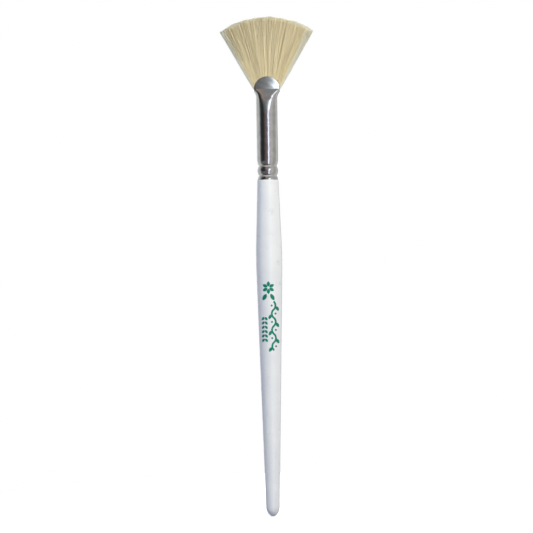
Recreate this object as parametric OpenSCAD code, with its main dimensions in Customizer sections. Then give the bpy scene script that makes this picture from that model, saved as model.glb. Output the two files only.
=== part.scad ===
// Fan brush: lacquered wooden handle, crimped metal ferrule with a pinched, domed mouth,
// and a fan of bristles set in a resin plug.
// +Z runs along the brush from the tail to the bristle tips, X is across the fan and -Y is the printed
// face. The origin is the middle of the round seat at the handle's belly.

/* [Handle] */
// Distance from the seat at the belly to the end of the tail
tail_len = 104.6; // [90:0.2:125]
// Distance from the seat at the belly to the shoulder under the ferrule
shoulder_z = 32.1; // [28:0.1:36]
// Radius of the belly, the thickest part
belly_r = 5.25; // [5:0.05:5.6]
// Length of the truly cylindrical seat at the belly
seat_len = 6; // [4:0.5:8]
// Radius at the shoulder
shoulder_r = 4.25; // [4.1:0.05:4.5]
// Radius where the rounded tail begins
tail_r = 2.8; // [2.4:0.05:3.2]
// Length of the rounded tail
tail_round = 4.2; // [2.8:0.1:6]
// Thickness of the white lacquer
lacquer_t = 0.14; // [0.1:0.01:0.2]
// Length of the tenon inside the ferrule
tenon_len = 16; // [12:0.5:17]
// Thickness of the adhesive between tenon and ferrule
adhesive_t = 0.08; // [0.05:0.01:0.12]

/* [Ferrule] */
// Outside radius of the round tube
tube_r = 4.25; // [4.2:0.01:4.4]
// Thickness of the sheet metal
wall = 0.32; // [0.25:0.01:0.4]
// Depth of the two crimped grooves
groove_depth = 0.55; // [0.3:0.05:0.6]
// Distance between the two grooves
groove_pitch = 4; // [3.6:0.1:4.4]
// Half of the outside thickness of the pinched mouth
mouth_half = 2.3; // [2.1:0.05:2.6]
// Radius of the half-round lips
lip_r = 5.15; // [5:0.05:5.4]
// Radius that the mouth's faces bulge to
crown_r = 26; // [20:1:60]

/* [Bristles] */
// Half of the angle that the fan opens to
fan_half_angle = 29.7; // [24:0.1:32]
// Height of the fan above the open sides of the ferrule's mouth
fan_height = 30; // [25:0.5:36]
// Radius of the trimmed edge
trim_r = 34.5; // [30:0.5:45]
// Half of the fan's thickness at its tips
tip_half = 1.3; // [1:0.1:1.6]
// Furthest that the bristles bend to each side
flex_deg = 35; // [10:1:35]

/* [Binding] */
// Diameter of the thread that ties the bristle roots
thread_d = 0.42; // [0.3:0.02:0.44]
// Number of turns of the thread
thread_turns = 4; // [2:1:4]

/* [Imprint] */
// Thickness of the printed ink
ink_t = 0.04; // [0.03:0.01:0.06]
// Distance from the seat to the top of the print
imprint_top = 9; // [6:0.5:14]
// Number of bends in the printed vine
vine_bends = 6; // [3:1:8]
// Number of leaf pairs on the printed fern
fern_pairs = 6; // [3:1:7]

/* [Hidden] */
$fn = 96;

eps = 0.03;                                // clearance between parts that only lie side by side
big = 60;                                  // longer than anything that it cuts

// Heights along the brush
seat_half = seat_len / 2;
tail_end_z = -tail_len;
tail_start_z = tail_end_z + tail_round;
groove_low_z = shoulder_z + 1.8;
groove_high_z = groove_low_z + groove_pitch;
groove_half = 2.5;                         // from the middle of a groove to its rim
plug_z = shoulder_z + 19.3;                // underside of the resin plug
plug_top_z = plug_z + 7.5;
root_end_z = plug_z + 1;                   // cut ends of the bristles
pinch_z = shoulder_z + 30.7;               // the tube starts to flatten here
flare_z = shoulder_z + 32.3;               // and starts to widen here
side_lip_z = shoulder_z + 36.3;            // the mouth is open at its sides above this
crease_z = shoulder_z + 37.1;              // the flattened lips start here
lip_z = shoulder_z + 36.85;                // middle of the half-round lips
lip_top_z = lip_z + lip_r;
hinge_z = lip_top_z + 1.05;
fan_z = side_lip_z - (lip_r + 0.05) / tan(fan_half_angle);   // where the bristles fan out from
tip_z = side_lip_z + fan_height;

flare = lip_r - tube_r + 0.1;              // how far the tube widens towards the mouth
lip_half = mouth_half - 0.1;               // half thickness at the top of the lips
bundle_r = tube_r - wall - 0.63;           // the tied bundle of bristle roots
bristle_half = mouth_half - wall - eps;    // half thickness of the bristles in the mouth
hinge_r = bristle_half - 0.05;
hinge_gap = 0.12;                          // between the bristles' fixed and bending parts

white = "#e9eaee";
birch = "#d8b98a";
green = "#0a7f66";
amber = "#c9a15a";
nickel = "#c3c5c8";
straw = "#d2c193";
cotton = "#e8dfc8";
clear_glue = "#e4dcc4";

// Radius of the finished handle: it leaves the belly's seat in a soft curve,
// which runs out in straight tapers
taper_softness = 1;
soft_end = seat_half + 4;                  // the curve is over here
function soft(d) = sqrt(d * d + taper_softness * taper_softness) - taper_softness;
function taper(z) = z > 0
    ? (belly_r - shoulder_r) / soft(shoulder_z - seat_half)
    : (belly_r - tail_r) / soft(-tail_start_z - seat_half);
function soft_r(z) = belly_r - taper(z) * soft(abs(z) - seat_half);
function lower_r(z) = tail_r + (soft_r(-soft_end) - tail_r) * (z - tail_start_z) / (-soft_end - tail_start_z);

// Outline of the handle from the tail to the shoulder, inset by t, as [radius, z] points. The lacquer is a
// little thicker in the middle of the belly, where it runs together.
tail_steps = 12;
soft_steps = 5;
belly_share = 1.2;
function handle_outline(t) = concat(
    [for (i = [0 : tail_steps]) let (a = 90 * i / tail_steps)
        [(tail_r - t) * sin(a), tail_start_z - (tail_round - t) * cos(a)]],
    [for (i = [soft_steps : -1 : 0]) let (z = -seat_half - (soft_end - seat_half) * i / soft_steps)
        [soft_r(z) - t, z]],
    t > 0 ? [[belly_r - belly_share * t, 0]] : [],
    [for (i = [0 : soft_steps]) let (z = seat_half + (soft_end - seat_half) * i / soft_steps)
        [soft_r(z) - t, z]],
    [[shoulder_r - t, shoulder_z]]);

// Outside radius of the ferrule before it is pinched
function groove(z, at) = abs(z - at) < groove_half
    ? groove_depth * (1 + cos(180 * (z - at) / groove_half)) / 2
    : 0;
function widening(z) = flare * pow(min(max((z - flare_z) / (side_lip_z - flare_z), 0), 1), 3);
function ferrule_r(z) = tube_r - groove(z, groove_low_z) - groove(z, groove_high_z) + widening(z);

groove_top_z = groove_high_z + groove_half;
crimp_steps = 20;
crimp_zs = [for (i = [0 : crimp_steps]) shoulder_z + (groove_top_z - shoulder_z) * i / crimp_steps];
flare_steps = 7;
flare_zs = [for (i = [0 : flare_steps]) flare_z + (side_lip_z - flare_z) * i / flare_steps];

// The ferrule's wall line, inset by t, between two heights
function wall_line(t, low, high) = concat(
    [[ferrule_r(low) - t, low]],
    [for (z = concat(crimp_zs, flare_zs)) if (z > low && z < high) [ferrule_r(z) - t, z]],
    [[ferrule_r(high) - t, high]]);

// All between the pinched end's two faces, which slope in from outside the tube and bulge a little
module pinch(t) {
    slope = (tube_r - mouth_half) / (crease_z - pinch_z);
    out = 1.5 + tube_r - mouth_half;
    top = lip_top_z + 2;
    face = [[0, -big], [crown_r + out - t, -big], [crown_r + out - t, crease_z - out / slope],
            [crown_r - t, crease_z], [crown_r - mouth_half + lip_half - t, top], [0, top]];
    intersection_for (side = [-1, 1])
        translate([0, side * (crown_r - mouth_half), 0]) rotate_extrude() polygon(face);
}

// The ferrule's form, inset by t: 0 is its outside, and its wall thickness is the cavity
module ferrule_form(t, low, high) {
    intersection() {
        rotate_extrude() polygon(concat([[0, low]], wall_line(t, low, high), [[0, high]]));
        pinch(t);
    }
}

// Front view of the half-round lips and all below them, extruded through the brush
module lip_outline() {
    rotate([90, 0, 0]) linear_extrude(height = big, center = true) union() {
        translate([-lip_r, -big]) square([2 * lip_r, big + lip_z]);
        translate([0, lip_z]) circle(r = lip_r);
    }
}

// All above a height
module above(z) {
    translate([-big / 2, -big / 2, z]) cube(big);
}

module ferrule() {
    color(nickel) difference() {
        intersection() {
            ferrule_form(0, shoulder_z, lip_top_z + 1);
            lip_outline();
        }
        ferrule_form(wall, shoulder_z - 1, lip_top_z + 2);
        intersection() {
            pinch(wall);
            above(side_lip_z);
        }
    }
}

module handle_core() {
    top = shoulder_z + tenon_len;
    chamfer = 0.8;
    tenon = wall_line(wall + adhesive_t, shoulder_z, top - chamfer);
    tip_r = tenon[len(tenon) - 1][0] - chamfer;
    color(birch) rotate_extrude()
        polygon(concat(handle_outline(lacquer_t), tenon, [[tip_r, top], [0, top]]));
}

module handle_lacquer() {
    inner = handle_outline(lacquer_t);
    color(white) rotate_extrude()
        polygon(concat(handle_outline(0), [for (i = [len(inner) - 1 : -1 : 0]) inner[i]]));
}

module tenon_adhesive() {
    top = shoulder_z + tenon_len - 1.2;
    inner = wall_line(wall + adhesive_t, shoulder_z, top);
    color(clear_glue) rotate_extrude()
        polygon(concat(wall_line(wall, shoulder_z, top), [for (i = [len(inner) - 1 : -1 : 0]) inner[i]]));
}

// Cast around the cut ends of the bristles
module resin_plug() {
    color(amber) rotate_extrude()
        polygon([[0, plug_z], [tube_r - wall, plug_z], [tube_r - wall, plug_top_z],
                 [bundle_r, plug_top_z], [bundle_r, root_end_z], [0, root_end_z]]);
}

// One thread wound in a close helix around the bundle, as a swept tube
thread_sides = 8;
thread_rings = 20;                         // in each turn
module root_binding() {
    rings = thread_turns * thread_rings;
    r = thread_d / 2;
    path_r = bundle_r + r + eps;
    rise = (thread_d + eps) / 360;
    start_z = plug_top_z + r + 0.15;
    points = [for (i = [0 : rings]) let (turn = 360 * i / thread_rings)
        for (k = [0 : thread_sides - 1]) let (a = 360 * k / thread_sides, out = path_r + r * cos(a))
            [out * cos(turn), out * sin(turn), start_z + rise * turn + r * sin(a)]];
    sides = [for (i = [0 : rings - 1]) for (k = [0 : thread_sides - 1])
        let (n = (k + 1) % thread_sides, a = i * thread_sides, b = a + thread_sides)
            [a + k, a + n, b + n, b + k]];
    color(cotton) polyhedron(points, concat(sides,
        [[for (k = [thread_sides - 1 : -1 : 0]) k]],
        [[for (k = [0 : thread_sides - 1]) rings * thread_sides + k]]));
}

// Front view of the whole fan, extruded through its thickness
module fan_outline() {
    reach = tip_z - fan_z;
    rotate([90, 0, 0]) linear_extrude(height = big, center = true) intersection() {
        translate([0, tip_z - trim_r]) circle(r = trim_r);
        translate([0, fan_z]) polygon([[0, 0], [reach * tan(fan_half_angle), reach],
                                       [-reach * tan(fan_half_angle), reach]]);
    }
}

// A bar along X, round about the line that the bristles bend on
module hinge_bar(r) {
    translate([0, 0, hinge_z]) rotate([0, 90, 0]) cylinder(r = r, h = big, center = true);
}

// The stretch held in the ferrule, and the first few millimetres that fan out of its open sides
module bristle_roots() {
    land_z = hinge_z - (hinge_r + hinge_gap) * sin(flex_deg + 2);
    set_r = tube_r - wall - eps;
    low = [[0, root_end_z], [bundle_r, root_end_z], [bundle_r, pinch_z - 1.2], [set_r, pinch_z - 0.4]];
    color(straw) difference() {
        intersection() {
            pinch(wall + eps);
            union() {
                rotate_extrude()
                    polygon(concat(low, wall_line(wall + eps, flare_z, crease_z), [[0, crease_z]]));
                intersection() {
                    fan_outline();
                    above(side_lip_z + eps);
                }
            }
        }
        hinge_bar(hinge_r + hinge_gap);
        above(land_z);
    }
}

// The stretch that bends, thinning towards the tips
module bristle_fan() {
    top = tip_z + 0.1;
    low_half = hinge_r - 0.05;
    color(straw) intersection() {
        fan_outline();
        union() {
            hinge_bar(hinge_r);
            rotate([90, 0, 90]) linear_extrude(height = big, center = true)
                polygon([[low_half, hinge_z], [tip_half, top], [-tip_half, top], [-low_half, hinge_z]]);
        }
    }
}

// The printed ornament is drawn flat, with its top at the origin and growing along -Y

// A pointed leaf that grows from the origin along -Y, turned by an angle
module leaf(length, width, angle) {
    r = (length * length + width * width) / (4 * width);
    rotate(angle) intersection_for (side = [-1, 1])
        translate([side * (r - width / 2), -length / 2]) circle(r = r);
}

// Six petals, with two leaves under them
petals = 6;
module blossom() {
    for (i = [0 : petals - 1]) rotate(i * 360 / petals) translate([0, -0.45]) leaf(2.1, 1.3, 0);
    for (side = [-1, 1]) translate([0.8 * side, -2.5]) leaf(3, 1.5, 30 * side);
}

// A stem of curved strokes that winds from side to side, with a leaf outside and a berry inside each bend
stroke = 0.75;
bend = 3.3;                                // length of one stroke
bend_angle = 50;                           // how far it turns to each side
bend_r = bend / 2 / sin(bend_angle);
module stem_stroke() {
    far = 2 * bend_r;
    translate([-bend_r * cos(bend_angle), 0]) intersection() {
        difference() {
            circle(r = bend_r + stroke / 2);
            circle(r = bend_r - stroke / 2);
        }
        polygon([[0, 0], [far * cos(bend_angle), far * sin(bend_angle)],
                 [far * cos(bend_angle), -far * sin(bend_angle)]]);
    }
}

module vine() {
    out = bend_r * (1 - cos(bend_angle));
    for (i = [0 : vine_bends - 1])
        translate([0, -bend * (i + 0.5)]) rotate([0, 180 * (i % 2), 0]) {
            stem_stroke();
            translate([out + 0.1, -0.3]) leaf(2.2, 1.2, 32);
            translate([-0.75, 0]) circle(r = 0.4);
        }
}

// Short leaves in pairs, with a gap between them for the stem
module fern() {
    pitch = 1.75;
    for (i = [0 : fern_pairs - 1]) for (side = [-1, 1])
        translate([0.12 * side, -pitch * i]) leaf(1.6, 0.95, 38 * side);
}

module ornament() {
    translate([-0.5, -2.6]) blossom();
    translate([1.5, -8.2]) vine();
    translate([-2.2, -14.5]) fern();
}

// Ink on the -Y side of the handle
module handle_imprint() {
    top = -imprint_top;
    low = top - 32;
    color(green) intersection() {
        rotate_extrude() polygon([[lower_r(low), low], [lower_r(low) + ink_t, low],
                                  [lower_r(top) + ink_t, top], [lower_r(top), top]]);
        translate([0, 0, top]) rotate([90, 0, 0]) linear_extrude(height = 2 * belly_r) ornament();
    }
}

handle_core();
handle_lacquer();
handle_imprint();
tenon_adhesive();
ferrule();
resin_plug();
root_binding();
bristle_roots();
bristle_fan();
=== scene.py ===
"""Looks for the fan brush: a lacquered handle, a polished ferrule and a fan of separate bristles.

Sizes are in millimetres in the brush's own frame: +Z runs to the bristle tips, X is across the fan and -Y is
the printed face. new_mesh() and point() turn them into Blender's metres.
"""

import math

import bpy
import numpy as np
from mathutils import Matrix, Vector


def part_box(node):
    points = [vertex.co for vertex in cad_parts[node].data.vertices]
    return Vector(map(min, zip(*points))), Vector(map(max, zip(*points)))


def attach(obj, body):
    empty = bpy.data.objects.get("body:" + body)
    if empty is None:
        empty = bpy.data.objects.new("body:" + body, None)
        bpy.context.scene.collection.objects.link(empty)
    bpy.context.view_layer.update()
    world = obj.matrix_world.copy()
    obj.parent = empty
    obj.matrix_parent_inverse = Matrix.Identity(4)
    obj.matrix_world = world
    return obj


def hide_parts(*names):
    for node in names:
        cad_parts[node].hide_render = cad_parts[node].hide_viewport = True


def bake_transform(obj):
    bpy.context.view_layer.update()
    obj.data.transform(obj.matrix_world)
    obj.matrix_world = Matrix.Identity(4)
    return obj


MM = 0.001

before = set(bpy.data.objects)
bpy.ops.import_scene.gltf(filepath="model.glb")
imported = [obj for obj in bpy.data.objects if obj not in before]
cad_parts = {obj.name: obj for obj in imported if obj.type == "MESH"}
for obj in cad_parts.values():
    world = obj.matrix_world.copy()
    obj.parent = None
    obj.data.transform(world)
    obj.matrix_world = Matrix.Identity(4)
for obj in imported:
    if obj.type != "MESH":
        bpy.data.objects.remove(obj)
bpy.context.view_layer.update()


def box_mm(node):
    """The lowest and highest corners of a CAD node, in millimetres."""
    low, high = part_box(node)
    return np.array(low) / MM, np.array(high) / MM


handle_low, handle_high = box_mm("handle_lacquer")
ferrule_low, ferrule_high = box_mm("ferrule")
fan_high = box_mm("bristle_fan")[1]
root_low = box_mm("bristle_roots")[0]

# The handle
TAIL_END = handle_low[2]
TAIL_ROUND = 4.2  # length of the rounded tail
TAIL_R = 2.8
BELLY_R = handle_high[0]
SEAT_HALF = 3.0  # half of the belly's straight stretch
SHOULDER_R = 4.25
SHOULDER_Z = handle_high[2]
SHOULDER_EDGE = 0.14  # rounding of the lacquer at the shoulder
LACQUER = 0.14
TURNING_WAVE = 0.006  # the turned handle is out of round by this
# Grey spots in the lacquer's colour: place and reach
GREY_SPOTS = (((3.7, -3.6, -1.5), 1.6), ((4.3, -2.6, -10.2), 1.5), ((1.2, -4.4, 19.0), 1.8))

# The ferrule
TUBE_R = ferrule_high[1]
WALL = 0.32
GROOVES = (SHOULDER_Z + 1.8, SHOULDER_Z + 5.8)
GROOVE_DEPTH = 0.72
GROOVE_HALF = 2.5
WHEEL_REACH = 0.32  # the crimping wheel's sharp mark dies away over this
PINCH_Z = SHOULDER_Z + 30.7  # the tube starts to flatten here
FLARE_Z = SHOULDER_Z + 32.3  # and starts to widen here
SIDE_LIP_Z = SHOULDER_Z + 36.3  # the mouth is open at its sides above this
CREASE_Z = SHOULDER_Z + 37.1  # the flattened lips start here
LIP_R = ferrule_high[0] - 0.1  # the sides flare a little past the lips
LIP_TOP_Z = ferrule_high[2]
LIP_Z = LIP_TOP_Z - LIP_R  # middle of the half-round lips
MOUTH_R = LIP_R + 0.35
MOUTH_SKEW = 0.17  # the pinching pushed the mouth's +X side out by twice this
MOUTH_HALF = 2.3
CROWN_R = 26.0  # the mouth's faces bulge to this radius
CORNER_FALL = 0.487  # and are this much lower at the mouth's corners
SHEET_EDGE = 0.07  # rounding of the sheet's edges
# Small knocks in the sheet: degrees round the brush, height, reach and depth
KNOCKS = ((-76, 54.2, 0.3, 0.02), (-72, 52.9, 0.22, 0.016), (-79, 55.6, 0.2, 0.01),
          (-84, 49.0, 0.25, 0.008), (-70, 60.5, 0.3, 0.01), (-98, 71.2, 0.5, 0.012))

# The bristles
TIP_Z = fan_high[2]
TRIM_R = 34.5  # radius of the trimmed edge
TIP_HALF = 1.3  # half of the fan's thickness in its middle, at the tips
TIP_LEAN = 0.4  # the fan leans towards +X by this at its tips
TIE_Z = PINCH_Z - 1.2  # the bundle starts to spread here
FAN_HALF_WIDTH = fan_high[0]
ROOT_END_Z = root_low[2]
BUNDLE_R = 3.2
BRISTLE_COUNT = 2600
BRISTLE_R = 0.08
BRISTLE_SIDES = 5
BRISTLE_TAPER = 0.4  # share of its radius that a bristle loses towards its tip
LOCKS = 9
MOUTH_GAP = 0.12  # from the mouth's faces to the outermost bristles' middle lines
SIDE_GAP = 0.1  # and from the fan's sides
CROWDING = 0.07  # the bristles stand closer together in the middle of the fan
THINNER_SIDES = 0.45  # the fan's half thickness is less by this at its sides
TRIM_GAP = 0.12  # the tips end this far below the trimmed edge, on average
TIP_SCATTER = 0.08
SHORT_SHARE = 0.2  # share of the bristles that are shorter than the rest
SHORT_BY = 0.05  # and by what share of their length, on average
LEAN_X = 0.38  # scatter of the tips across the fan
LEAN_Y = 0.16  # and through its thickness
WIGGLE = 0.03
BOW = 0.45  # the bristles at the sides bow outwards by up to 0.42 times this
# Painted shade: the bristles' colour is darker where they leave the mouth
BASE_PAINTED_SHADE = 0.3  # the bristles are darker by this where they leave the mouth
BASE_PAINTED_SHADE_LENGTH = 8.0
# Painted shade: the fan's sides and its trimmed tips are greyed
SIDE_START = 0.89  # share of the half width where the grey of the fan's sides starts
SIDE_WIDTH = 0.08
RIM_LENGTH = 1.3  # the tips are greyer over this length

# The studio
VIEW_HEIGHT = 216.8  # height of the picture at the brush
LIGHT_DISTANCE = 0.8  # metres
FLOOR_R = 150.0

rng = np.random.default_rng(7)


def point(x, y, z):
    """A point in millimetres, as Blender's metres."""
    return (x * MM, y * MM, z * MM)


def new_mesh(name, points, faces, material):
    """A smooth-shaded object from points in millimetres."""
    mesh = bpy.data.meshes.new(name)
    mesh.from_pydata((np.asarray(points) * MM).tolist(), [], faces)
    mesh.polygons.foreach_set("use_smooth", np.ones(len(mesh.polygons), bool))
    mesh.materials.append(material)
    mesh.update()
    thing = bpy.data.objects.new(name, mesh)
    bpy.context.scene.collection.objects.link(thing)
    return thing


def grid_faces(rows, columns, close_rows=False):
    """Quads of a grid of rows by columns that closes on itself along the columns."""
    faces = []
    for i in range(rows if close_rows else rows - 1):
        j = (i + 1) % rows
        for k in range(columns):
            n = (k + 1) % columns
            faces.append((i * columns + k, i * columns + n, j * columns + n, j * columns + k))
    return faces


# ---------------------------------------------------------------- materials


class Nodes:
    """Short calls that add the nodes of one shader tree and join them."""

    def __init__(self, tree):
        self.tree = tree

    def node(self, kind, **values):
        made = self.tree.nodes.new("ShaderNode" + kind)
        for name, value in values.items():
            setattr(made, name, value)
        return made

    def put(self, socket, value):
        """Gives a socket another node's output, a number, a vector or a colour."""
        if isinstance(value, bpy.types.NodeSocket):
            self.tree.links.new(value, socket)
        elif socket.type == "RGBA":
            socket.default_value = (*value, 1.0)
        else:
            socket.default_value = value

    def math(self, operation, a, b=0.0):
        made = self.node("Math", operation=operation)
        self.put(made.inputs[0], a)
        self.put(made.inputs[1], b)
        return made.outputs["Value"]

    def mix(self, factor, low, high, how="MIX"):
        """A mix of two colours, which a Mix node has as its inputs 6 and 7 and its output 2."""
        made = self.node("Mix", data_type="RGBA", blend_type=how)
        self.put(made.inputs["Factor"], factor)
        self.put(made.inputs[6], low)
        self.put(made.inputs[7], high)
        return made.outputs[2]

    def ramp(self, factor, low, high, start=0.3, end=0.7, curve="LINEAR"):
        """Goes from low to high, numbers or colours, as factor goes from start to end."""
        if isinstance(low, tuple):
            return self.mix(self.ramp(factor, 0.0, 1.0, start, end, curve), low, high)
        made = self.node("MapRange", interpolation_type=curve)
        self.put(made.inputs["Value"], factor)
        self.put(made.inputs["From Min"], start)
        self.put(made.inputs["From Max"], end)
        self.put(made.inputs["To Min"], low)
        self.put(made.inputs["To Max"], high)
        return made.outputs["Result"]

    def fade(self, value, start, end):
        """A soft step: 0 at start and 1 at end."""
        return self.ramp(value, 0.0, 1.0, start, end, "SMOOTHSTEP")

    def bands(self, turn, stops):
        """Colours by turn, which is 0 to 1 for -180 to 180 degrees round the brush."""
        ramp = self.node("ValToRGB")
        elements = ramp.color_ramp.elements
        while len(elements) < len(stops):
            elements.new(0.5)
        for element, (at, color) in zip(elements, stops):
            element.position = (at + 180) / 360
            element.color = (*color, 1.0)
        self.put(ramp.inputs["Fac"], turn)
        return ramp.outputs["Color"]


class Shader(Nodes):
    """A Principled material, with short calls for what feeds it."""

    def __init__(self, name, color, roughness, metallic=0.0):
        self.material = bpy.data.materials.new(name)
        self.material.use_nodes = True
        super().__init__(self.material.node_tree)
        self.bsdf = self.tree.nodes["Principled BSDF"]
        self.set("Base Color", color)
        self.set("Roughness", roughness)
        self.set("Metallic", metallic)
        scale = self.node("VectorMath", operation="SCALE")
        self.put(scale.inputs[0], self.node("TexCoord").outputs["Object"])
        self.put(scale.inputs["Scale"], 1 / MM)
        self.place = scale.outputs["Vector"]  # the point on the brush, in millimetres

    def set(self, socket, value):
        self.put(self.bsdf.inputs[socket], value)

    def noise(self, scale, detail=3.0, stretch=(1.0, 1.0, 1.0)):
        """Noise between 0 and 1, with scale features to the millimetre along each axis times stretch."""
        spread = self.node("VectorMath", operation="MULTIPLY")
        self.put(spread.inputs[0], self.place)
        self.put(spread.inputs[1], stretch)
        made = self.node("TexNoise")
        self.put(made.inputs["Vector"], spread.outputs["Vector"])
        self.put(made.inputs["Scale"], scale)
        self.put(made.inputs["Detail"], detail)
        return made.outputs["Fac"]

    def near(self, centre, reach):
        """1 at a place on the brush, falling to 0 at reach millimetres from it."""
        made = self.node("VectorMath", operation="DISTANCE")
        self.put(made.inputs[0], self.place)
        self.put(made.inputs[1], centre)
        return self.ramp(made.outputs["Value"], 1.0, 0.0, 0.0, reach)

    def bump(self, height, depth):
        """Raises the surface by up to depth millimetres where height is 1."""
        made = self.node("Bump")
        self.put(made.inputs["Distance"], depth * MM)
        self.put(made.inputs["Height"], height)
        self.set("Normal", made.outputs["Normal"])

    def attribute(self, name):
        return self.node("Attribute", attribute_name=name).outputs["Fac"]


def lacquer_material():
    """White lacquer with a faint ripple, a few grey spots and a clear coat."""
    s = Shader("lacquer_white", (0.80, 0.81, 0.84), 0.34)
    # a few grey spots that darken the lacquer's colour
    grey_spots = 0.0
    for centre, reach in GREY_SPOTS:
        grey_spots = s.math("MAXIMUM", grey_spots, s.near(centre, reach))
    marks = s.math("MULTIPLY", grey_spots, s.ramp(s.noise(1.6, 4.0), 0.0, 0.55, 0.42, 0.62))
    tint = s.ramp(s.noise(0.12, 2.0), (0.83, 0.84, 0.87), (0.87, 0.88, 0.895), 0.35, 0.65)
    s.set("Base Color", s.mix(marks, tint, (0.42, 0.43, 0.46)))
    s.set("Roughness", s.ramp(s.noise(0.5, 3.0), 0.26, 0.4))
    s.set("Coat Weight", 1.0)
    s.set("Coat Roughness", 0.1)
    s.bump(s.noise(0.9, 2.0, (1.0, 1.0, 0.35)), 0.02)
    return s.material


def nickel_material():
    """Polished nickel plate with hairline scratches along the tube and a little haze."""
    s = Shader("ferrule_nickel", (0.78, 0.78, 0.77), 0.09, 1.0)
    s.set("Base Color", s.ramp(s.noise(0.45, 4.0), (0.72, 0.72, 0.71), (0.82, 0.82, 0.815), 0.35, 0.65))
    haze = s.ramp(s.noise(0.8, 5.0), 0.06, 0.16, 0.35, 0.7)
    scratches = s.ramp(s.noise(5.0, 4.0, (1.0, 1.0, 0.06)), 0.0, 0.07, 0.55, 0.75)
    s.set("Roughness", s.math("ADD", haze, scratches))
    s.bump(s.math("ADD", s.noise(2.2, 4.0, (1.0, 1.0, 0.5)), s.noise(7.0, 2.0, (1.0, 1.0, 0.06))), 0.005)
    return s.material


def bristle_material():
    """Natural bristle: each one has its own tone, with painted shade that darkens it where it leaves the
    mouth and greys the fan's edges.
    """
    s = Shader("hog_bristle", (0.8, 0.7, 0.45), 0.4)
    # The shade attribute is each bristle's own tone, with painted shade where it leaves the mouth
    shade = s.ramp(s.attribute("shade"), (0.65, 0.54, 0.315), (0.91, 0.83, 0.61), 0.0, 1.0)
    streaks = s.ramp(s.noise(3.0, 3.0, (1.0, 1.0, 0.12)), 0.0, 0.35, 0.4, 0.7)
    color = s.mix(streaks, shade, (0.8, 0.71, 0.47))
    # The grey attribute is painted shade at the fan's sides and trimmed tips
    s.set("Base Color", s.mix(s.attribute("grey"), color, (0.72, 0.72, 0.63)))
    s.set("Specular IOR Level", 0.45)
    return s.material


def ink_material():
    """Green print, a little uneven in its ink."""
    s = Shader("print_green", (0.0, 0.2, 0.13), 0.4)
    s.set("Base Color", s.ramp(s.noise(2.2, 3.0), (0.0, 0.17, 0.11), (0.005, 0.27, 0.18)))
    s.bump(s.noise(7.0, 2.0), 0.004)
    return s.material


def birch_material():
    """Pale wood with its grain along the handle."""
    s = Shader("birch", (0.68, 0.5, 0.31), 0.55)
    grain = s.noise(1.6, 4.0, (1.0, 1.0, 0.06))
    s.set("Base Color", s.ramp(grain, (0.56, 0.39, 0.22), (0.76, 0.6, 0.4)))
    s.bump(grain, 0.03)
    return s.material


def adhesive_material():
    """Dried wood adhesive."""
    s = Shader("adhesive", (0.74, 0.66, 0.48), 0.25)
    s.set("Base Color", s.ramp(s.noise(0.8), (0.7, 0.61, 0.42), (0.8, 0.73, 0.56)))
    return s.material


def resin_material():
    """Amber resin with darker clouds and fine bubbles."""
    s = Shader("resin", (0.5, 0.28, 0.08), 0.18)
    s.set("Base Color", s.ramp(s.noise(0.7, 4.0), (0.36, 0.18, 0.05), (0.6, 0.36, 0.12)))
    s.bump(s.noise(4.0, 2.0), 0.02)
    return s.material


def cotton_material():
    """Twisted cotton thread, with slanting strands."""
    s = Shader("cotton_thread", (0.78, 0.7, 0.55), 0.85)
    strands = s.noise(5.0, 2.0, (1.0, 1.0, 2.5))
    s.set("Base Color", s.ramp(strands, (0.66, 0.58, 0.43), (0.86, 0.8, 0.66)))
    s.bump(strands, 0.05)
    return s.material


# ---------------------------------------------------------------- handle


def soft(d):
    """d, eased in from a level start."""
    return np.sqrt(d * d + 1.0) - 1.0


def handle_r(z):
    """Radius of the finished handle between the tail and the shoulder."""
    tail_start = TAIL_END + TAIL_ROUND
    past_seat = np.maximum(np.abs(z) - SEAT_HALF, 0.0)
    up = (BELLY_R - SHOULDER_R) / soft(SHOULDER_Z - SEAT_HALF)
    down = (BELLY_R - TAIL_R) / soft(-tail_start - SEAT_HALF)
    return BELLY_R - np.where(z > 0, up, down) * soft(past_seat)


def handle_line(inset, edge, step):
    """[radius, z] points from the tail's end to the shoulder, inset, with a rounded edge at the shoulder."""
    tail_start = TAIL_END + TAIL_ROUND
    turn = np.radians(np.arange(0, 90, 6.0))
    tail = [[(TAIL_R - inset) * math.sin(a), tail_start - (TAIL_ROUND - inset) * math.cos(a)] for a in turn]
    top = SHOULDER_Z - edge
    zs = np.linspace(tail_start, top, int((top - tail_start) / step))
    side = [[r - inset, z] for r, z in zip(handle_r(zs), zs)]
    r = SHOULDER_R - inset
    lip = [[r - edge * (1 - math.cos(a)), top + edge * math.sin(a)] for a in np.radians([30, 60, 90])]
    return tail + side + (lip if edge else [])


def revolve(name, line, material, columns=96):
    """A closed body from a line of [radius, z] points that starts and ends on the axis."""
    inner = np.array(line[1:-1])
    angle = np.linspace(0, 2 * math.pi, columns, endpoint=False)
    radius = inner[:, :1]
    z = inner[:, 1:]
    wave = TURNING_WAVE * np.sin(3 * angle + 0.21 * z) * np.sin(0.13 * z)
    r = radius + wave * (radius > 1)
    ring = np.stack([r * np.cos(angle), r * np.sin(angle), np.broadcast_to(z, r.shape)], -1)
    points = np.concatenate([ring.reshape(-1, 3), [[0, 0, line[0][1]], [0, 0, line[-1][1]]]])
    faces = grid_faces(len(inner), columns)
    first = len(points) - 2
    last = len(points) - 1
    base = (len(inner) - 1) * columns
    for k in range(columns):
        n = (k + 1) % columns
        faces.append((first, n, k))
        faces.append((last, base + k, base + n))
    return new_mesh(name, points, faces, material)


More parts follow.
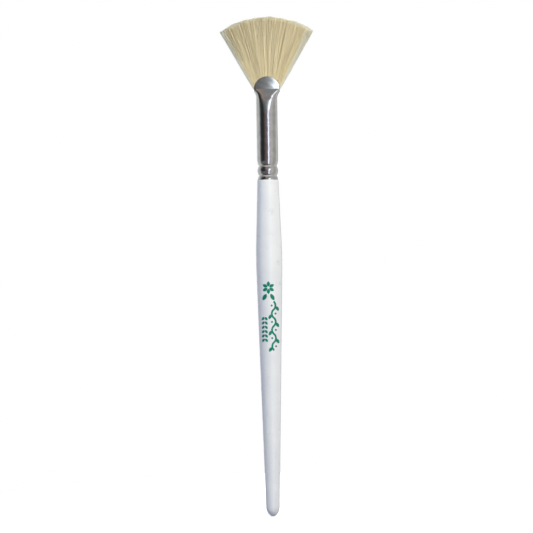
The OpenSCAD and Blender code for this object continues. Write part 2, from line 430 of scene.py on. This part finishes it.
def make_coat():
    """The lacquer coat: a closed shell over the wooden core."""
    outer = handle_line(0.0, SHOULDER_EDGE, 0.8)
    inner = handle_line(LACQUER, 0.0, 4.0)
    inner[-1][1] = SHOULDER_Z
    coat = revolve("lacquer_coat", outer + inner[::-1], lacquer_material())
    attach(coat, "handle")
    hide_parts("handle_lacquer")


# ---------------------------------------------------------------- ferrule


def soft_min(a, b, edge):
    """The lower of a and b, rounded where they cross."""
    return -edge * np.logaddexp(-a / edge, -b / edge)


def soft_abs(d):
    """The size of d, rounded at 0."""
    return np.sqrt(d * d + 0.01) - 0.1


def skewed(x, z):
    """x, pushed out on the mouth's +X side."""
    share = np.clip((z - FLARE_Z - 1) / 2, 0, 1)
    return x + MOUTH_SKEW * share * (1 + np.clip(x / LIP_R, -1, 1))


def tube_r(z):
    """Outside radius of the ferrule before it is pinched."""
    r = TUBE_R + (MOUTH_R - TUBE_R) * np.clip((z - FLARE_Z) / (SIDE_LIP_Z - FLARE_Z), 0, 1) ** 4
    for at in GROOVES:
        away = np.minimum(np.abs(z - at) / GROOVE_HALF, 1)
        round_part = (1 + np.cos(math.pi * away)) / 2
        sharp_part = np.exp(-soft_abs(z - at) / WHEEL_REACH)
        r = r - GROOVE_DEPTH * (round_part + sharp_part) / 2
    return r


def face_half(x, z):
    """Distance from the middle plane to the pinched faces, which meet in a crease below the lips."""
    lip = MOUTH_HALF - 0.03 * (z - CREASE_Z)
    slope = (TUBE_R - MOUTH_HALF) / (CREASE_Z - PINCH_Z)
    throat = MOUTH_HALF + slope * (CREASE_Z - z)
    return -soft_min(-lip, -throat, 0.06) - x * x / (2 * CROWN_R)


def dents(angle, z):
    """Low waves that the drawing, crimping and pinching leave in the sheet, and a few small knocks."""
    pinched = np.clip((z - PINCH_Z) / 3, 0, 1)
    wave = 0.006 * np.sin(2 * angle + 0.45 * z) + 0.006 * np.sin(5 * angle - 0.7 * z + 1.3)
    wave = wave + 0.004 * np.sin(9 * angle + 1.7 * z) + 0.008 * pinched * np.sin(7 * angle + 2.3 * z)
    for at, height, reach, depth in KNOCKS:
        along = TUBE_R * np.angle(np.exp(1j * (angle - math.radians(at))))
        wave = wave - depth * np.exp(-(along ** 2 + (z - height) ** 2) / reach ** 2)
    return wave


def ferrule_point(angle, z, inset):
    """A point of the sheet at an angle round the brush and a height, inset from the outside."""
    r = tube_r(z) + dents(angle, z) - inset
    x = r * np.cos(angle)
    x = np.sign(x) * soft_min(np.abs(x), LIP_R - inset, 0.02)
    rounding = 0.34 - 0.16 * np.clip((z - CREASE_Z + 0.5) / 1.5, 0, 1)
    y = soft_min(np.abs(r * np.sin(angle)), face_half(x, z) + dents(angle, z) - inset, rounding)
    return np.stack([skewed(x, z), np.sign(np.sin(angle)) * y, z], -1)


def sheet_top(angle):
    """Height of the ferrule's edge: half-round lips on the two faces, and low at the open sides."""
    x = MOUTH_R * np.cos(angle)
    on_lip = np.abs(MOUTH_R * np.sin(angle)) > face_half(x, CREASE_Z) - WALL
    lip = LIP_Z + np.sqrt(np.maximum(LIP_R ** 2 - np.minimum(np.abs(x), LIP_R) ** 2, 0))
    return np.where(on_lip, lip, SIDE_LIP_Z)


def ferrule_angles():
    """Angles round the brush, closer together at the four corners of the mouth."""
    corner = math.asin((MOUTH_HALF - WALL - CORNER_FALL) / MOUTH_R)
    near = np.radians([-1.3, -0.6, -0.25, -0.05, 0.05, 0.25, 0.6, 1.3])
    corners = [corner, math.pi - corner, math.pi + corner, 2 * math.pi - corner]
    even = np.radians(np.arange(1.0, 360.0, 2.0))
    clear = [a for a in even if min(abs(a - c) for c in corners) > math.radians(1.6)]
    return np.sort(np.concatenate([clear] + [c + near for c in corners]))


def make_ferrule():
    """One closed sheet: up the outside, over a rounded edge and down the inside."""
    angle = ferrule_angles()
    top = sheet_top(angle)
    crease = np.minimum(CREASE_Z, top - 0.3)
    foot = GROOVES[1] + GROOVE_HALF
    low = np.concatenate([np.arange(SHOULDER_Z + SHEET_EDGE, foot, 0.08),
                          np.arange(foot, FLARE_Z - 0.2, 0.4)])
    levels = [np.full_like(angle, z) for z in low]
    levels += [FLARE_Z + (crease - FLARE_Z) * i / 24 for i in range(24)]
    levels += [crease + (top - SHEET_EDGE - crease) * i / 16 for i in range(17)]
    rows = [ferrule_point(angle, z, 0.0) for z in levels]
    turn = np.radians([35, 65, 90, 115, 145])
    bead = [(WALL / 2 * (1 - math.cos(a)), SHEET_EDGE * math.sin(a)) for a in turn]
    rows += [ferrule_point(angle, top - SHEET_EDGE + rise, inset) for inset, rise in bead]
    rows += [ferrule_point(angle, z, WALL) for z in levels[::-1]]
    rows += [ferrule_point(angle, np.full_like(angle, SHOULDER_Z + SHEET_EDGE - rise), inset)
             for inset, rise in bead[::-1]]
    faces = grid_faces(len(rows), len(angle), close_rows=True)
    sheet = new_mesh("ferrule_sheet", np.concatenate(rows), faces, nickel_material())
    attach(sheet, "handle")
    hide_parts("ferrule")


# ---------------------------------------------------------------- bristles


def trimmed_z(x):
    """Height of the trimmed edge above a point across the fan."""
    return TIP_Z - TRIM_R + np.sqrt(TRIM_R ** 2 - x * x)


def hermite(t, start, end, start_slope, end_slope):
    """A cubic curve from start to end with the given slopes, as t goes from 0 to 1."""
    from_start = (2 * t ** 3 - 3 * t ** 2 + 1) * start + (t ** 3 - 2 * t ** 2 + t) * start_slope
    return from_start + (3 * t ** 2 - 2 * t ** 3) * end + (t ** 3 - t ** 2) * end_slope


def held_part(bundle, mouth, tip):
    """The bristles inside the ferrule: straight in the bundle, then spread by the mouth."""
    rise = SIDE_LIP_Z - TIE_Z
    slope = (tip[:, :2] - mouth[:, :2]) / (tip[:, 2:] - mouth[:, 2:])
    t = np.linspace(0.2, 1, 5)
    spread = hermite(t[:, None], bundle[:, None], mouth[:, None, :2], 0, rise * slope[:, None])
    places = np.concatenate([bundle[:, None], bundle[:, None], spread], 1)
    heights = np.concatenate([[ROOT_END_Z, TIE_Z], TIE_Z + rise * t])
    heights = np.broadcast_to(heights[:, None], (*places.shape[:2], 1))
    return np.concatenate([places, heights], 2)


def free_part(mouth, tip, across, short):
    """The bristles above the mouth, each with its own lean and wiggle. The outermost ones are calmer."""
    column = (len(across), 1)
    t = np.linspace(0, 1, 17)[None, 1:] * (1 - short)
    bow = BOW * across * np.abs(across) * 4 * t * (1 - t) ** 3
    calm = 1 - 0.85 * across ** 4
    lean_x = rng.normal(0, LEAN_X, column) * calm
    lean_y = rng.normal(0, LEAN_Y, column)
    phase = rng.uniform(0, 2 * math.pi, column)
    wiggle = rng.normal(0, WIGGLE, column) * calm * np.sin(phase + 5 * t) * np.minimum(4 * t, 1)
    x, y, z = (mouth[:, i:i + 1] + (tip - mouth)[:, i:i + 1] * t for i in range(3))
    x = x + TIP_LEAN * t + bow + lean_x * t ** 1.3 + wiggle
    y = y + lean_y * t ** 2 + 0.5 * wiggle
    x = np.clip(x, -FAN_HALF_WIDTH, FAN_HALF_WIDTH + TIP_LEAN + SIDE_GAP)
    return np.stack([x, y, z], -1)


def bristle_paths():
    """Middle lines of all bristles, and where each one is across the fan and through it, from -1 to 1."""
    column = (BRISTLE_COUNT, 1)
    across = np.linspace(-1, 1, BRISTLE_COUNT)[:, None] + rng.normal(0, 0.01, column)
    across = np.clip(across, -1, 1)
    deep = rng.uniform(-1, 1, column)
    bundle = BUNDLE_R * np.hstack([across * np.sqrt(1 - deep ** 2 / 2), deep * np.sqrt(1 - across ** 2 / 2)])

    x = (LIP_R - WALL - BRISTLE_R) * across
    y = deep * (MOUTH_HALF - WALL - MOUTH_GAP - x ** 2 / (2 * CROWN_R))
    mouth = np.hstack([skewed(x, SIDE_LIP_Z), y, np.full(column, SIDE_LIP_Z)])

    x = (FAN_HALF_WIDTH - SIDE_GAP) * ((1 - CROWDING) * across + CROWDING * across ** 3)
    y = deep * (TIP_HALF - THINNER_SIDES * across ** 2)
    uneven = 0.12 * np.sin(9 * across + 1) + 0.08 * np.sin(23 * across)
    z = trimmed_z(x) - TRIM_GAP + uneven + rng.normal(0, TIP_SCATTER, column)
    tip = np.hstack([x, y, z])
    short = np.where(rng.random(column) < SHORT_SHARE, rng.exponential(SHORT_BY, column), 0)

    held = held_part(bundle, mouth, tip)
    return np.concatenate([held, free_part(mouth, tip, across, short)], 1), across, deep


def bristle_shades(paths):
    """Each bristle's own tone, from 0 to 1, with painted shade that makes all of them darker where they
    leave the mouth.
    """
    own = rng.normal(0.48, 0.13, (len(paths), 1))
    # painted shade, strongest where the bristles leave the mouth
    base = np.exp(-np.maximum(paths[:, :, 2] - SIDE_LIP_Z, 0) / BASE_PAINTED_SHADE_LENGTH)
    return (own - BASE_PAINTED_SHADE * base).clip(0, 1)


def bristle_painted_shade(paths, across, deep):
    """Painted shade that greys the bristles, from 0 to 1: most at the sides of the two faces and at the
    trimmed edge.
    """
    from_middle = np.abs(across)
    noise = rng.normal(0, 0.02, across.shape)
    near_face = np.clip(np.abs(deep) * 4 - 1.8, 0.1, 1)
    # painted shade at the fan's sides
    side = np.clip((from_middle - SIDE_START + noise) / SIDE_WIDTH, 0, 1) * 0.95 * near_face
    x = paths[:, :, 0].clip(-FAN_HALF_WIDTH, FAN_HALF_WIDTH)
    below_edge = trimmed_z(x) - paths[:, :, 2]
    # painted shade along the trimmed tips
    rim = np.clip(1 - below_edge / RIM_LENGTH, 0, 1) * np.clip(from_middle * 1.5, 0.55, 1) * 0.9
    return np.maximum(side, rim)


def tube_mesh(name, paths, radii, material, **attributes):
    """One mesh of closed tubes along many lines, with attributes given at each point of each line."""
    count, steps, _ = paths.shape
    sides = BRISTLE_SIDES
    along = np.gradient(paths, axis=1)
    along /= np.linalg.norm(along, axis=2, keepdims=True)
    side = np.cross(along, [0.0, 1.0, 0.0])
    side /= np.linalg.norm(side, axis=2, keepdims=True)
    front = np.cross(side, along)
    turn = np.linspace(0, 2 * math.pi, sides, endpoint=False)[:, None]
    spread = side[:, :, None] * np.cos(turn) + front[:, :, None] * np.sin(turn)
    points = paths[:, :, None] + radii[:, :, None, None] * spread
    ring = np.array(grid_faces(steps, sides))
    starts = np.arange(count) * steps * sides
    faces = (ring[None] + starts[:, None, None]).reshape(-1, 4).tolist()
    for start in starts.tolist():
        faces.append(tuple(start + k for k in reversed(range(sides))))
        faces.append(tuple(start + (steps - 1) * sides + k for k in range(sides)))
    thing = new_mesh(name, points.reshape(-1, 3), faces, material)
    for attribute, values in attributes.items():
        layer = thing.data.attributes.new(attribute, "FLOAT", "POINT")
        layer.data.foreach_set("value", np.repeat(values.reshape(-1), sides).astype(np.float32))
    return thing


def make_bristles():
    """All bristles, in locks that lie side by side across the fan."""
    paths, across, deep = bristle_paths()
    thick = BRISTLE_R * rng.normal(1, 0.12, (BRISTLE_COUNT, 1)).clip(0.7, 1.3)
    radii = thick * (1 - BRISTLE_TAPER * np.linspace(0, 1, paths.shape[1]) ** 2)
    shade = bristle_shades(paths)
    # painted shade at the fan's edges
    painted_edge_shade = bristle_painted_shade(paths, across, deep)
    material = bristle_material()
    lock_of = np.minimum((across[:, 0] + 1) / 2 * LOCKS, LOCKS - 1).astype(int)
    for i in range(LOCKS):
        mine = lock_of == i
        lock = tube_mesh(f"bristle_lock_{i + 1}", paths[mine], radii[mine], material,
                         shade=shade[mine], grey=painted_edge_shade[mine])
        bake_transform(lock)
        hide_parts("bristle_roots", "bristle_fan")


# ---------------------------------------------------------------- CAD pieces that stay


def dress(node, material):
    """Gives a CAD node's own mesh a material."""
    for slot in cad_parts[node].material_slots:
        slot.material = material


make_coat()
make_ferrule()
make_bristles()
dress("handle_core", birch_material())
dress("handle_imprint", ink_material())
dress("tenon_adhesive", adhesive_material())
dress("resin_plug", resin_material())
dress("root_binding", cotton_material())


# ---------------------------------------------------------------- studio


def grey(level):
    """A colour without hue."""
    return (level, level, level)


# The bands are colours by direction, in degrees round the brush from the camera, positive to its right.

# What upright metal reflects: a dark left side, a strip of light right of the camera, and strips behind
LEVEL_BANDS = (
    (-180, grey(0.5)), (-172, grey(0.12)), (-160, grey(0.09)), (-153, grey(1.1)),
    (-143, (0.66, 0.67, 0.67)), (-124, (0.44, 0.45, 0.45)), (-105, (0.56, 0.57, 0.57)),
    (-92, (0.38, 0.39, 0.39)), (-82, (0.18, 0.19, 0.19)), (-72, (0.035, 0.04, 0.04)),
    (-53, (0.02, 0.025, 0.023)), (-40, (0.028, 0.028, 0.027)), (-30, (0.065, 0.05, 0.05)),
    (-17, (0.165, 0.11, 0.11)), (-5, (0.15, 0.13, 0.145)), (3, (0.22, 0.23, 0.26)),
    (10, (0.55, 0.6, 0.7)), (17, (0.75, 0.76, 0.85)), (23, (0.46, 0.44, 0.5)),
    (41, (0.53, 0.49, 0.5)), (53, (0.51, 0.48, 0.45)), (66, (0.43, 0.41, 0.385)),
    (81, (0.36, 0.36, 0.355)), (97, (0.385, 0.385, 0.36)), (116, (0.52, 0.53, 0.5)),
    (143, grey(0.67)), (152, grey(0.2)), (168, grey(0.14)), (180, grey(0.5)))

# What metal that leans back a little reflects
RAISED_BANDS = (
    (-180, grey(0.5)), (-168, grey(0.14)), (-156, grey(0.9)), (-140, grey(0.6)), (-112, grey(0.5)),
    (-94, grey(0.28)), (-82, grey(0.07)), (-68, (0.035, 0.04, 0.04)), (-40, grey(0.03)),
    (-24, (0.12, 0.12, 0.13)), (-10, (0.18, 0.19, 0.19)), (-3, (0.23, 0.24, 0.25)),
    (3, (0.34, 0.37, 0.39)), (7, (0.5, 0.56, 0.6)), (12, (0.88, 0.98, 1.05)),
    (16, (1.7, 1.75, 1.85)), (26, (1.7, 1.75, 1.85)), (34, (0.55, 0.53, 0.56)),
    (97, (0.38, 0.38, 0.36)), (143, grey(0.6)), (160, grey(0.16)), (180, grey(0.5)))

# What metal that leans back further reflects
UPPER_BANDS = (
    (-180, grey(0.6)), (-84, grey(0.2)), (-60, grey(0.03)), (-34, (0.08, 0.07, 0.06)),
    (-16, (0.36, 0.27, 0.22)), (-6, (0.25, 0.235, 0.23)), (4, grey(0.235)), (16, (0.25, 0.25, 0.26)),
    (40, (0.42, 0.42, 0.43)), (60, (0.42, 0.41, 0.40)), (180, grey(0.6)))

# What metal that faces down reflects
FLOOR_BANDS = (
    (-180, grey(0.6)), (-100, grey(0.4)), (-70, grey(0.1)), (30, (0.14, 0.13, 0.12)),
    (60, (0.4, 0.4, 0.38)), (180, grey(0.6)))


def make_world():
    """A studio to reflect, by direction: bands of light and dark, a ceiling, a floor and a lamp.

    Directions round the brush are in degrees from the camera, positive to its right, and heights are in
    degrees above the brush. The camera itself sees plain white, and matt surfaces get a dimmer, bluer light.
    """
    world = bpy.data.worlds.new("studio")
    bpy.context.scene.world = world
    world.use_nodes = True
    world.node_tree.nodes.clear()
    n = Nodes(world.node_tree)

    way = n.node("SeparateXYZ")
    n.put(way.inputs["Vector"], n.node("TexCoord").outputs["Generated"])
    around = n.math("ARCTAN2", way.outputs["X"], n.math("MULTIPLY", way.outputs["Y"], -1.0))
    turn = n.math("ADD", n.math("DIVIDE", around, 2 * math.pi), 0.5)
    height = n.math("DEGREES", n.math("ARCSINE", way.outputs["Z"]))

    room = n.mix(n.fade(height, 5.8, 8.5), n.bands(turn, LEVEL_BANDS), n.bands(turn, RAISED_BANDS))
    # Below the level bands there is a low sweep that is never quite dark
    low_sweep = n.math("MULTIPLY", n.fade(height, -13.0, -19.0), n.fade(height, -40.0, -32.0))
    room = n.mix(low_sweep, room, (0.12, 0.12, 0.125), "LIGHTEN")
    room = n.mix(n.fade(height, 26.0, 34.0), room, n.bands(turn, UPPER_BANDS))
    ceiling = (0.85, 0.82, 0.76)
    room = n.mix(n.fade(height, 48.0, 58.0), room, ceiling)
    room = n.mix(n.fade(height, -42.0, -54.0), room, n.bands(turn, FLOOR_BANDS))

    # A tall, narrow lamp to the right of the camera
    lamp = n.math("MULTIPLY", n.fade(around, math.radians(9), math.radians(13)),
                  n.fade(around, math.radians(20), math.radians(15)))
    lamp = n.math("MULTIPLY", lamp, n.fade(height, 8.0, 6.0))
    lamp = n.math("MULTIPLY", lamp, n.fade(height, -46.0, -36.0))
    room = n.mix(lamp, room, (1.7, 1.8, 2.0))

    path = n.node("LightPath")
    room = n.mix(path.outputs["Is Diffuse Ray"], room, (0.38, 0.45, 0.68), "MULTIPLY")
    background = n.node("Background")
    n.put(background.inputs["Color"], n.mix(path.outputs["Is Camera Ray"], room, (1.0, 1.0, 1.0)))
    n.put(n.node("OutputWorld").inputs["Surface"], background.outputs[0])


def make_light(name, energy, color, size, around, height):
    """A soft light that polished metal doesn't show. Its size is in metres and its place in degrees."""
    light = bpy.data.lights.new(name, "AREA")
    light.size = size
    light.energy = energy
    light.color = color
    thing = bpy.data.objects.new(name, light)
    bpy.context.scene.collection.objects.link(thing)
    heading = Matrix.Rotation(math.radians(around), 4, "Z")
    tilt = Matrix.Rotation(math.radians(90 - height), 4, "X")
    thing.matrix_world = heading @ tilt @ Matrix.Translation((0, 0, LIGHT_DISTANCE))
    thing.visible_glossy = False


def floor_material():
    """Pale floor with a painted glow, weakest at the tail and brighter away from it, and clear from below.
    """
    s = Shader("floor_white", grey(0.85), 0.8)
    # painted light: the floor glows white, least at the tail
    s.set("Emission Color", grey(1.0))
    s.set("Emission Strength", s.ramp(s.near((0.0, 0.0, TAIL_END), 90.0), 1.0, 0.35, 0.0, 1.0))
    either = s.node("MixShader")
    s.put(either.inputs["Fac"], s.node("NewGeometry").outputs["Backfacing"])
    s.put(either.inputs[1], s.bsdf.outputs["BSDF"])
    s.put(either.inputs[2], s.node("BsdfTransparent").outputs["BSDF"])
    s.put(s.tree.nodes["Material Output"].inputs["Surface"], either.outputs["Shader"])
    return s.material


def make_floor():
    """A floor under the tail. Only the camera sees it, so the brush keeps its light."""
    corners = 64
    angle = np.linspace(0, 2 * math.pi, corners, endpoint=False)
    height = np.full_like(angle, TAIL_END - 0.05)
    rim = np.stack([FLOOR_R * np.cos(angle), FLOOR_R * np.sin(angle), height], -1)
    floor = new_mesh("floor", rim, [tuple(range(corners))], floor_material())
    floor.visible_diffuse = False
    floor.visible_glossy = False
    floor.visible_shadow = False


def make_camera():
    """A long lens straight in front, rolled so that the brush leans a little."""
    camera = bpy.data.cameras.new("camera")
    camera.lens = 120
    camera.sensor_width = 36
    thing = bpy.data.objects.new("camera", camera)
    bpy.context.scene.collection.objects.link(thing)
    distance = VIEW_HEIGHT * camera.lens / camera.sensor_width
    place = Matrix.Translation(point(-1.12, -distance, -3.05))
    level = Matrix.Rotation(math.pi / 2, 4, "X")
    roll = Matrix.Rotation(math.radians(-0.89), 4, "Z")
    thing.matrix_world = place @ level @ roll
    bpy.context.scene.camera = thing


make_world()
make_light("key", 6.5, (1.0, 0.97, 0.8), 0.5, 20, 30)
make_light("fill", 1.6, (0.6, 0.72, 1.0), 0.4, -60, 10)
make_light("back_right", 3.2, (1.0, 0.95, 0.82), 0.5, 135, 25)
make_light("back_left", 4.2, (1.0, 0.95, 0.82), 0.5, -155, 25)
make_floor()
make_camera()
bpy.context.scene.view_settings.view_transform = "Standard"
